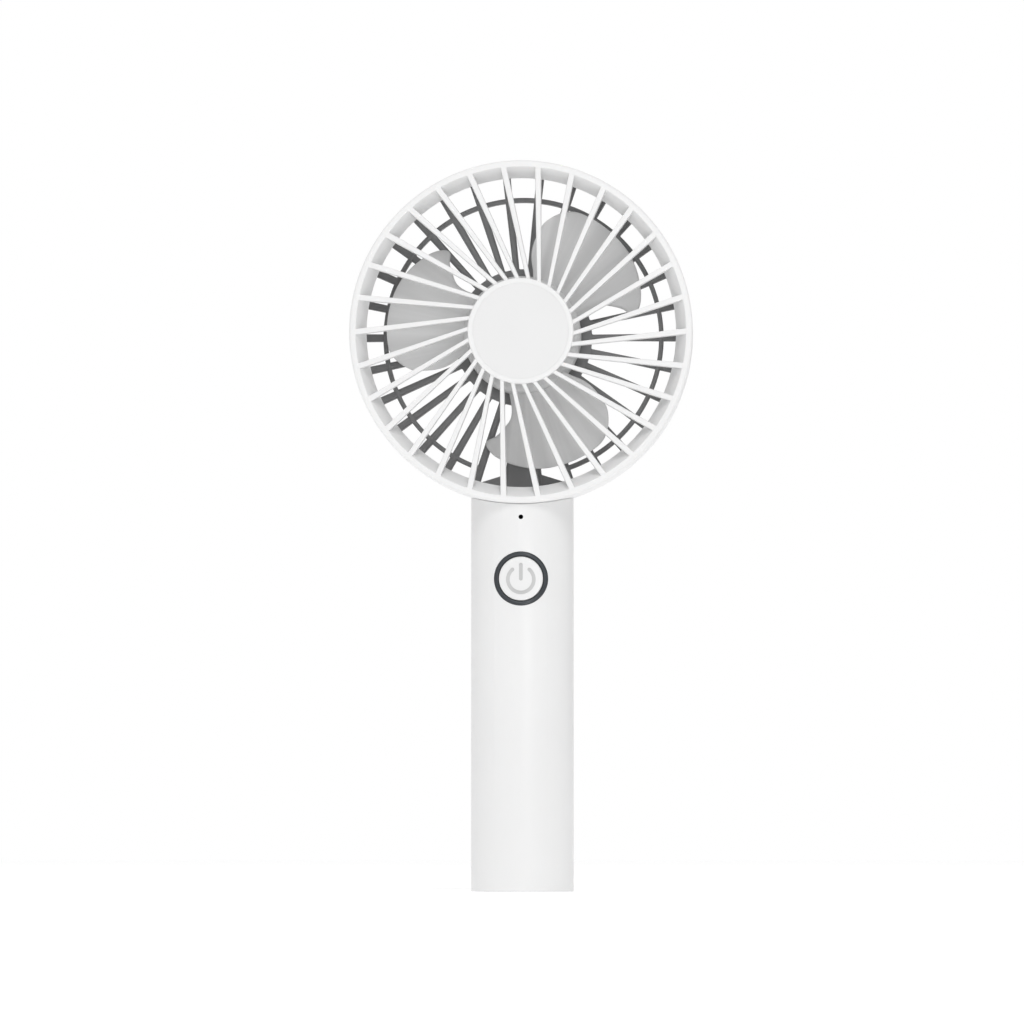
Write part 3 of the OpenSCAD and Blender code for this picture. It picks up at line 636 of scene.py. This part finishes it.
def blade(index):
    """Swept blade: a helical sheet that thins to a rounded edge all the way round."""
    rows, cols = 60, 48
    spin = 360 * index / BLADE_N
    last = len(BLADE_SECTIONS) - 1

    def layer(side):
        points = []
        for i in range(rows + 1):
            # Rows crowd towards the tip, where the outline turns fastest
            t = last * math.sin(math.pi / 2 * i / rows) ** 1.2
            radius, lead, trail = section_at(t)
            tip_fade = max(0.0, 1 - (i / rows) ** 24)
            for j in range(cols + 1):
                v = 0.5 - 0.5 * math.cos(math.pi * j / cols)
                angle = lead + (trail - lead) * v
                edge_fade = max(0.0, 1 - abs(2 * v - 1) ** 16)
                half = BLADE_EDGE_HALF + (BLADE_T / 2 - BLADE_EDGE_HALF) * math.sqrt(edge_fade * tip_fade)
                f = BLADE_MID_F + BLADE_RISE * (angle - BLADE_MID_ANGLE) + side * half
                at = math.radians(angle + spin)
                points.append(head_place(radius * math.cos(at), radius * math.sin(at), f))
        return points

    front, back = layer(1), layer(-1)
    count = len(front)
    faces = grid_faces(rows + 1, cols + 1)
    faces += [tuple(count + v for v in face) for face in faces]
    rim = [i * (cols + 1) for i in range(rows + 1)]
    rim += [rows * (cols + 1) + j for j in range(1, cols + 1)]
    rim += [i * (cols + 1) + cols for i in range(rows - 1, -1, -1)]
    rim += [j for j in range(cols - 1, 0, -1)]
    for k, v in enumerate(rim):
        w = rim[(k + 1) % len(rim)]
        faces.append((v, w, count + w, count + v))
    return make_object("blade", front + back, faces)


def rotor():
    front, back = 4.0, -8.5
    roof, shaft_end = 1.8, 3.3
    hub = lathe("hub", rounded([
        (0, front, 0), (ROTOR_HUB_R, front, 1.4), (ROTOR_HUB_R, back, 0.4), (ROTOR_BORE_R, back, 0.2),
        (ROTOR_BORE_R, roof, 0.1), (SHAFT_BORE_R, roof, 0), (SHAFT_BORE_R, shaft_end, 0),
        (0, shaft_end, 0)]), head_place)
    combine(hub, "UNION", *[blade(k) for k in range(BLADE_N)])
    hub.name = "rotor_body"
    finish_piece(hub, ROTOR_GREY, "rotor_assembly", "rotor_grey", "rotor")


# ---- Handle ----

def cope_height(x, y):
    """Height at which the handle's wall ends, just below the head."""
    f = -y
    radius = HEAD_R
    if f < ROUND_START:
        t = math.asin(min(1.0, (ROUND_START - f) / (ROUND_START + HEAD_BACK)))
        radius = HEAD_R - ROUND_R * (1 - math.cos(t))
    return HEAD_Z - math.sqrt((radius + NECK_GAP) ** 2 - x * x)


def stadium(half_w, half_h, steps=16):
    """Outline of a slot with round ends, as (x, z)."""
    points = []
    for side in (1, -1):
        for k in range(steps + 1):
            angle = math.pi / 2 - math.pi * k / steps
            x = half_w - half_h + half_h * math.cos(angle)
            points.append((side * x, side * half_h * math.sin(angle)))
    return points


def y_place(z0):
    """Places (x, height, depth) so that depth runs along -Y, about a centre at height z0."""
    return lambda x, z, depth: Vector((x, -depth, z0 + z))


def handle_tube():
    """Tube with rounded ends, a top that follows the head and a lip round the bottom cap."""
    verts = []
    for k in range(TURNS):
        angle = 2 * math.pi * k / TURNS
        dx, dy = math.sin(angle), -math.cos(angle)
        top_out = cope_height(HANDLE_R * dx, HANDLE_R * dy)
        top_in = cope_height(HANDLE_IN_R * dx, HANDLE_IN_R * dy)
        section = [(HANDLE_R - 0.25, 0.0), (HANDLE_R - 0.1, 0.03), (HANDLE_R - 0.03, 0.1), (HANDLE_R, 0.25),
                   (HANDLE_R, top_out - 0.25), (HANDLE_R - 0.07, top_out - 0.07), (HANDLE_R - 0.25, top_out),
                   (HANDLE_IN_R, top_in), (HANDLE_IN_R, BASE_LIP_H),
                   (BASE_LIP_R, BASE_LIP_H), (BASE_LIP_R, 0.0)]
        verts += [Vector((r * dx, r * dy, z)) for r, z in section]
    tube = make_object("handle_tube_shell", verts, grid_faces(TURNS, len(section), True, True))

    def drill(name, radius, z):
        """Round cutter through the front wall."""
        return lathe(name, [(0, 5), (radius, 5), (radius, 20), (0, 20)], y_place(z), 128)

    cuts = [
        drill("button_cut", BEZEL_R + 0.05, BUTTON_Z),
        drill("led_cut", LED_HOLE_R, LED_Z),
        prism("socket_cut", stadium(SOCKET_HALF_W + 0.2, SOCKET_HALF_H + 0.2), y_place(SOCKET_Z), -20, -5)]
    combine(tube, "DIFFERENCE", *cuts)
    finish_piece(tube, SHELL_WHITE, "casing", "shell_white", "handle_tube")


def on_handle(x, inset):
    """Depth of the handle's surface at x, moved inwards by inset."""
    return math.sqrt(HANDLE_R ** 2 - x * x) - inset


def button_ring():
    """Dark ring whose front follows the handle's round surface."""
    face, back = 0.02, 3.0
    section = rounded([
        (BEZEL_R, back, 0), (BEZEL_R, face, 0.3), (BEZEL_IN_R, face, 1.0), (BEZEL_IN_R, back, 0)], 8)
    place = y_place(BUTTON_Z)
    verts = []
    for k in range(BUTTON_TURNS):
        angle = 2 * math.pi * k / BUTTON_TURNS
        for r, inset in section:
            x, z = r * math.cos(angle), r * math.sin(angle)
            verts.append(place(x, z, on_handle(x, inset)))
    ring = make_object("button_ring_trim", verts, grid_faces(BUTTON_TURNS, len(section), True, True))
    finish_piece(ring, RING_SLATE, "casing", "ring_slate", "button_ring")


def stroke(points, width, cap_steps=10):
    """Outline of a line of this width with round ends."""
    left, right = [], []
    for i, p in enumerate(points):
        along = (points[min(i + 1, len(points) - 1)] - points[max(i - 1, 0)]).normalized()
        side = Vector((-along.y, along.x)) * width / 2
        left.append(p + side)
        right.append(p - side)

    def cap(centre, start):
        return [centre + Matrix.Rotation(-math.pi * k / cap_steps, 2) @ (start - centre)
                for k in range(1, cap_steps)]

    return left + cap(points[-1], left[-1]) + right[::-1] + cap(points[0], right[0])


def power_symbol(width):
    """Outlines of an arc that is open at the top and of the bar in its gap."""
    arc = [Vector((SYMBOL_R * math.sin(a), SYMBOL_R * math.cos(a) + SYMBOL_DROP))
           for a in map(math.radians, range(SYMBOL_GAP, 361 - SYMBOL_GAP, 5))]
    bar = [Vector((0, z + SYMBOL_DROP)) for z in (0.2, 2.3, 4.4)]
    return [stroke(arc, width), stroke(bar, width)]


def power_button():
    """Button whose face curves with the handle, with an engraved symbol and its grey floor."""
    face_depth = -BUTTON_FACE_Y
    place = y_place(BUTTON_Z)
    flat_r = BUTTON_R - BUTTON_EDGE
    skirt_in_r, skirt_back, roof = BUTTON_R - 1.3, 3.6, 2.0
    radii = [BUTTON_R * k / 24 for k in range(24)]
    section = [(r, 0.0) for r in radii if r < flat_r]
    section += [(flat_r + BUTTON_EDGE * math.sin(a), BUTTON_EDGE * (1 - math.cos(a)))
                for a in (math.pi / 2 * k / 6 for k in range(7))]
    section += [(BUTTON_R, skirt_back), (skirt_in_r, skirt_back), (skirt_in_r, roof), (0, roof)]
    verts = []
    for k in range(BUTTON_TURNS):
        angle = 2 * math.pi * k / BUTTON_TURNS
        for r, inset in section:
            x, z = r * math.cos(angle), r * math.sin(angle)
            sink = BUTTON_CROWN_R - math.sqrt(BUTTON_CROWN_R ** 2 - x * x)
            verts.append(place(x, z, face_depth - sink - inset))
    button = make_object("power_button_cap", verts, grid_faces(BUTTON_TURNS, len(section), True, True))
    grooves = [prism("groove", mark, place, face_depth - 0.45, face_depth + 1)
               for mark in power_symbol(SYMBOL_W)]
    combine(button, "DIFFERENCE", *grooves)
    finish_piece(button, BUTTON_WHITE, "button", "button_white", "power_button")
    inlay = join("power_symbol_inlay", [
        prism("inlay", mark, place, face_depth - 0.5, face_depth - 0.4)
        for mark in power_symbol(SYMBOL_W + 0.02)])
    finish_piece(inlay, SYMBOL_GREY, "button", "button_white")


def charging_socket():
    """Steel shell of the socket with the black tongue inside it."""
    mouth = SOCKET_HI.y
    floor = mouth - SOCKET_DEPTH

    def shell_section(inset, y):
        outline = stadium(SOCKET_HALF_W - inset, SOCKET_HALF_H - inset, 12)
        return [Vector((x, y, SOCKET_Z + z)) for x, z in outline]

    # Inset from the outside, and position: out along the shell, round its mouth and back in
    walls = [(0, SOCKET_LO.y), (0, mouth - 0.15), (0.08, mouth), (SOCKET_SKIN - 0.1, mouth),
             (SOCKET_SKIN, mouth - 0.2), (SOCKET_SKIN, floor)]
    shell = loft("charging_socket_shell", [shell_section(inset, y) for inset, y in walls])
    finish_piece(shell, SOCKET_STEEL, "casing", "socket_steel", "usb_socket")

    def tongue_section(w, h, y):
        outline = rounded([(-w, -h, 0.15), (w, -h, 0.15), (w, h, 0.15), (-w, h, 0.15)], 3)
        return [Vector((x, y, SOCKET_Z + z)) for x, z in outline]

    tongue = loft("charging_socket_tongue", [
        tongue_section(3.3, 0.35, floor - 0.05), tongue_section(3.3, 0.35, mouth - 1.2),
        tongue_section(3.15, 0.2, mouth - 1.0)])
    finish_piece(tongue, SWITCH_BLACK, "casing", "switch_black")


# ---- CAD nodes that keep their shape ----

KEPT = {
    "rotor_yoke": YOKE_STEEL, "magnet_ring": MAGNET, "motor_shaft": SHAFT_STEEL, "shaft_clip": SPRING_STEEL,
    "bearing_tube": BRASS, "front_bearing": BEARING_STEEL, "rear_bearing": BEARING_STEEL,
    "stator_core": CORE_STEEL, "stator_windings": COPPER, "motor_board": BOARD_GREEN,
    "motor_lead_red": WIRE_RED, "motor_lead_black": WIRE_BLACK, "inner_frame": FRAME_PLASTIC,
    "neck_screws": STEEL, "bottom_cap": SHELL_WHITE, "base_screws": STEEL, "control_board": BOARD_GREEN,
    "tact_switch": SWITCH_BLACK, "switch_plunger": SWITCH_BLACK, "status_led": LED_SMOKED,
    "battery_cell": CELL_WRAP, "battery_tabs": NICKEL,
    "battery_lead_red": WIRE_RED, "battery_lead_black": WIRE_BLACK,
}


def dress_kept_nodes():
    for name, material in KEPT.items():
        mesh = frame["nodes"][name].data
        mesh.materials.clear()
        mesh.materials.append(material)


# ---- Studio ----

def make_camera():
    """Long lens level with the base, a little to the right, tilted up at the middle of the fan."""
    distance, azimuth, elevation = 2200, 1.79, -2.54
    aim = Vector((-3.1, 0, 113.1))
    frame_height = 305.7
    a, e = math.radians(azimuth), math.radians(elevation)
    back = Vector((math.sin(a) * math.cos(e), -math.cos(a) * math.cos(e), math.sin(e)))
    camera = bpy.data.cameras.new("camera")
    camera.sensor_width = 36
    camera.lens = camera.sensor_width * distance / frame_height
    camera.clip_start, camera.clip_end = 0.1, 50
    obj = bpy.data.objects.new("camera", camera)
    bpy.context.scene.collection.objects.link(obj)
    obj.rotation_mode = "QUATERNION"
    obj.location = (aim + back * distance) * MM
    obj.rotation_quaternion = (-back).to_track_quat("-Z", "Y")
    bpy.context.scene.camera = obj


def area_light(name, place, aim, size, watts):
    """Round soft light; place, aim and size are in metres."""
    light = bpy.data.lights.new(name, "AREA")
    light.shape = "DISK"
    light.size = size
    light.energy = watts
    obj = bpy.data.objects.new(name, light)
    bpy.context.scene.collection.objects.link(obj)
    obj.location = place
    obj.rotation_mode = "QUATERNION"
    obj.rotation_quaternion = (Vector(aim) - Vector(place)).to_track_quat("-Z", "Y")


def make_world():
    """White surroundings, dimmer to the far sides and in front."""
    world = bpy.data.worlds.new("studio")
    bpy.context.scene.world = world
    world.use_nodes = True
    tree = world.node_tree
    background = tree.nodes["Background"]
    coords = tree.nodes.new("ShaderNodeTexCoord")
    split = tree.nodes.new("ShaderNodeSeparateXYZ")
    tree.links.new(coords.outputs["Generated"], split.inputs["Vector"])

    side = tree.nodes.new("ShaderNodeMapRange")
    side.inputs["From Min"].default_value = -1
    side.inputs["From Max"].default_value = 1
    ramp = tree.nodes.new("ShaderNodeValToRGB")
    ramp.color_ramp.interpolation = "EASE"
    # From the left to the right: place along the ramp, brightness
    stops = [(0.0, 0.62), (0.34, 1.0), (0.56, 1.0), (0.8, 0.6), (1.0, 0.62)]
    for position, _ in stops[1:-1]:
        ramp.color_ramp.elements.new(position)
    for element, (position, level) in zip(ramp.color_ramp.elements, stops):
        element.position = position
        element.color = (level, level, level, 1)
    tree.links.new(split.outputs["X"], side.inputs["Value"])
    tree.links.new(side.outputs["Result"], ramp.inputs["Fac"])
    tree.links.new(ramp.outputs["Color"], background.inputs["Color"])

    # The side that lights the front is dimmer, so that the key light's shadows show
    front = tree.nodes.new("ShaderNodeMapRange")
    front.interpolation_type = "SMOOTHSTEP"
    front.inputs["From Min"].default_value = -0.7
    front.inputs["From Max"].default_value = 0.2
    front.inputs["To Min"].default_value = 0.7
    front.inputs["To Max"].default_value = 1.0
    tree.links.new(split.outputs["Y"], front.inputs["Value"])
    tree.links.new(front.outputs["Result"], background.inputs["Strength"])


def make_floor():
    """Pale paper, just below the base so that the two faces don't fight."""
    half, drop = 3000, -0.02
    corners = [(-half, -half, drop), (half, -half, drop), (half, half, drop), (-half, half, drop)]
    mesh = bpy.data.meshes.new("floor")
    mesh.from_pydata([Vector(c) * MM for c in corners], [], [(0, 1, 2, 3)])
    floor = bpy.data.objects.new("floor", mesh)
    bpy.context.scene.collection.objects.link(floor)
    material, tree, shader = new_material("floor_paper", (0.93, 0.93, 0.93), 0.9, specular=0.1)
    add_bump(tree, shader, add_noise(tree, 0.2, 3), 0.02)
    shader.inputs["Emission Color"].default_value = (1, 1, 1, 1)
    shader.inputs["Emission Strength"].default_value = 0.25
    floor.data.materials.append(material)


def make_lights():
    area_light("key", (0.15, -2.0, 2.2), (0, 0, 0.1), 1.5, 22.0)
    area_light("front", (0.5, -2.0, 0.08), (0, 0, 0.08), 0.4, 4.6)
    view = bpy.context.scene.view_settings
    view.view_transform = "Standard"
    view.look = "None"


make_camera()
make_world()
make_floor()
make_lights()
front_grille()
grille_cap()
rear_housing()
rear_guard()
rotor()
handle_tube()
button_ring()
power_button()
charging_socket()
dress_kept_nodes()
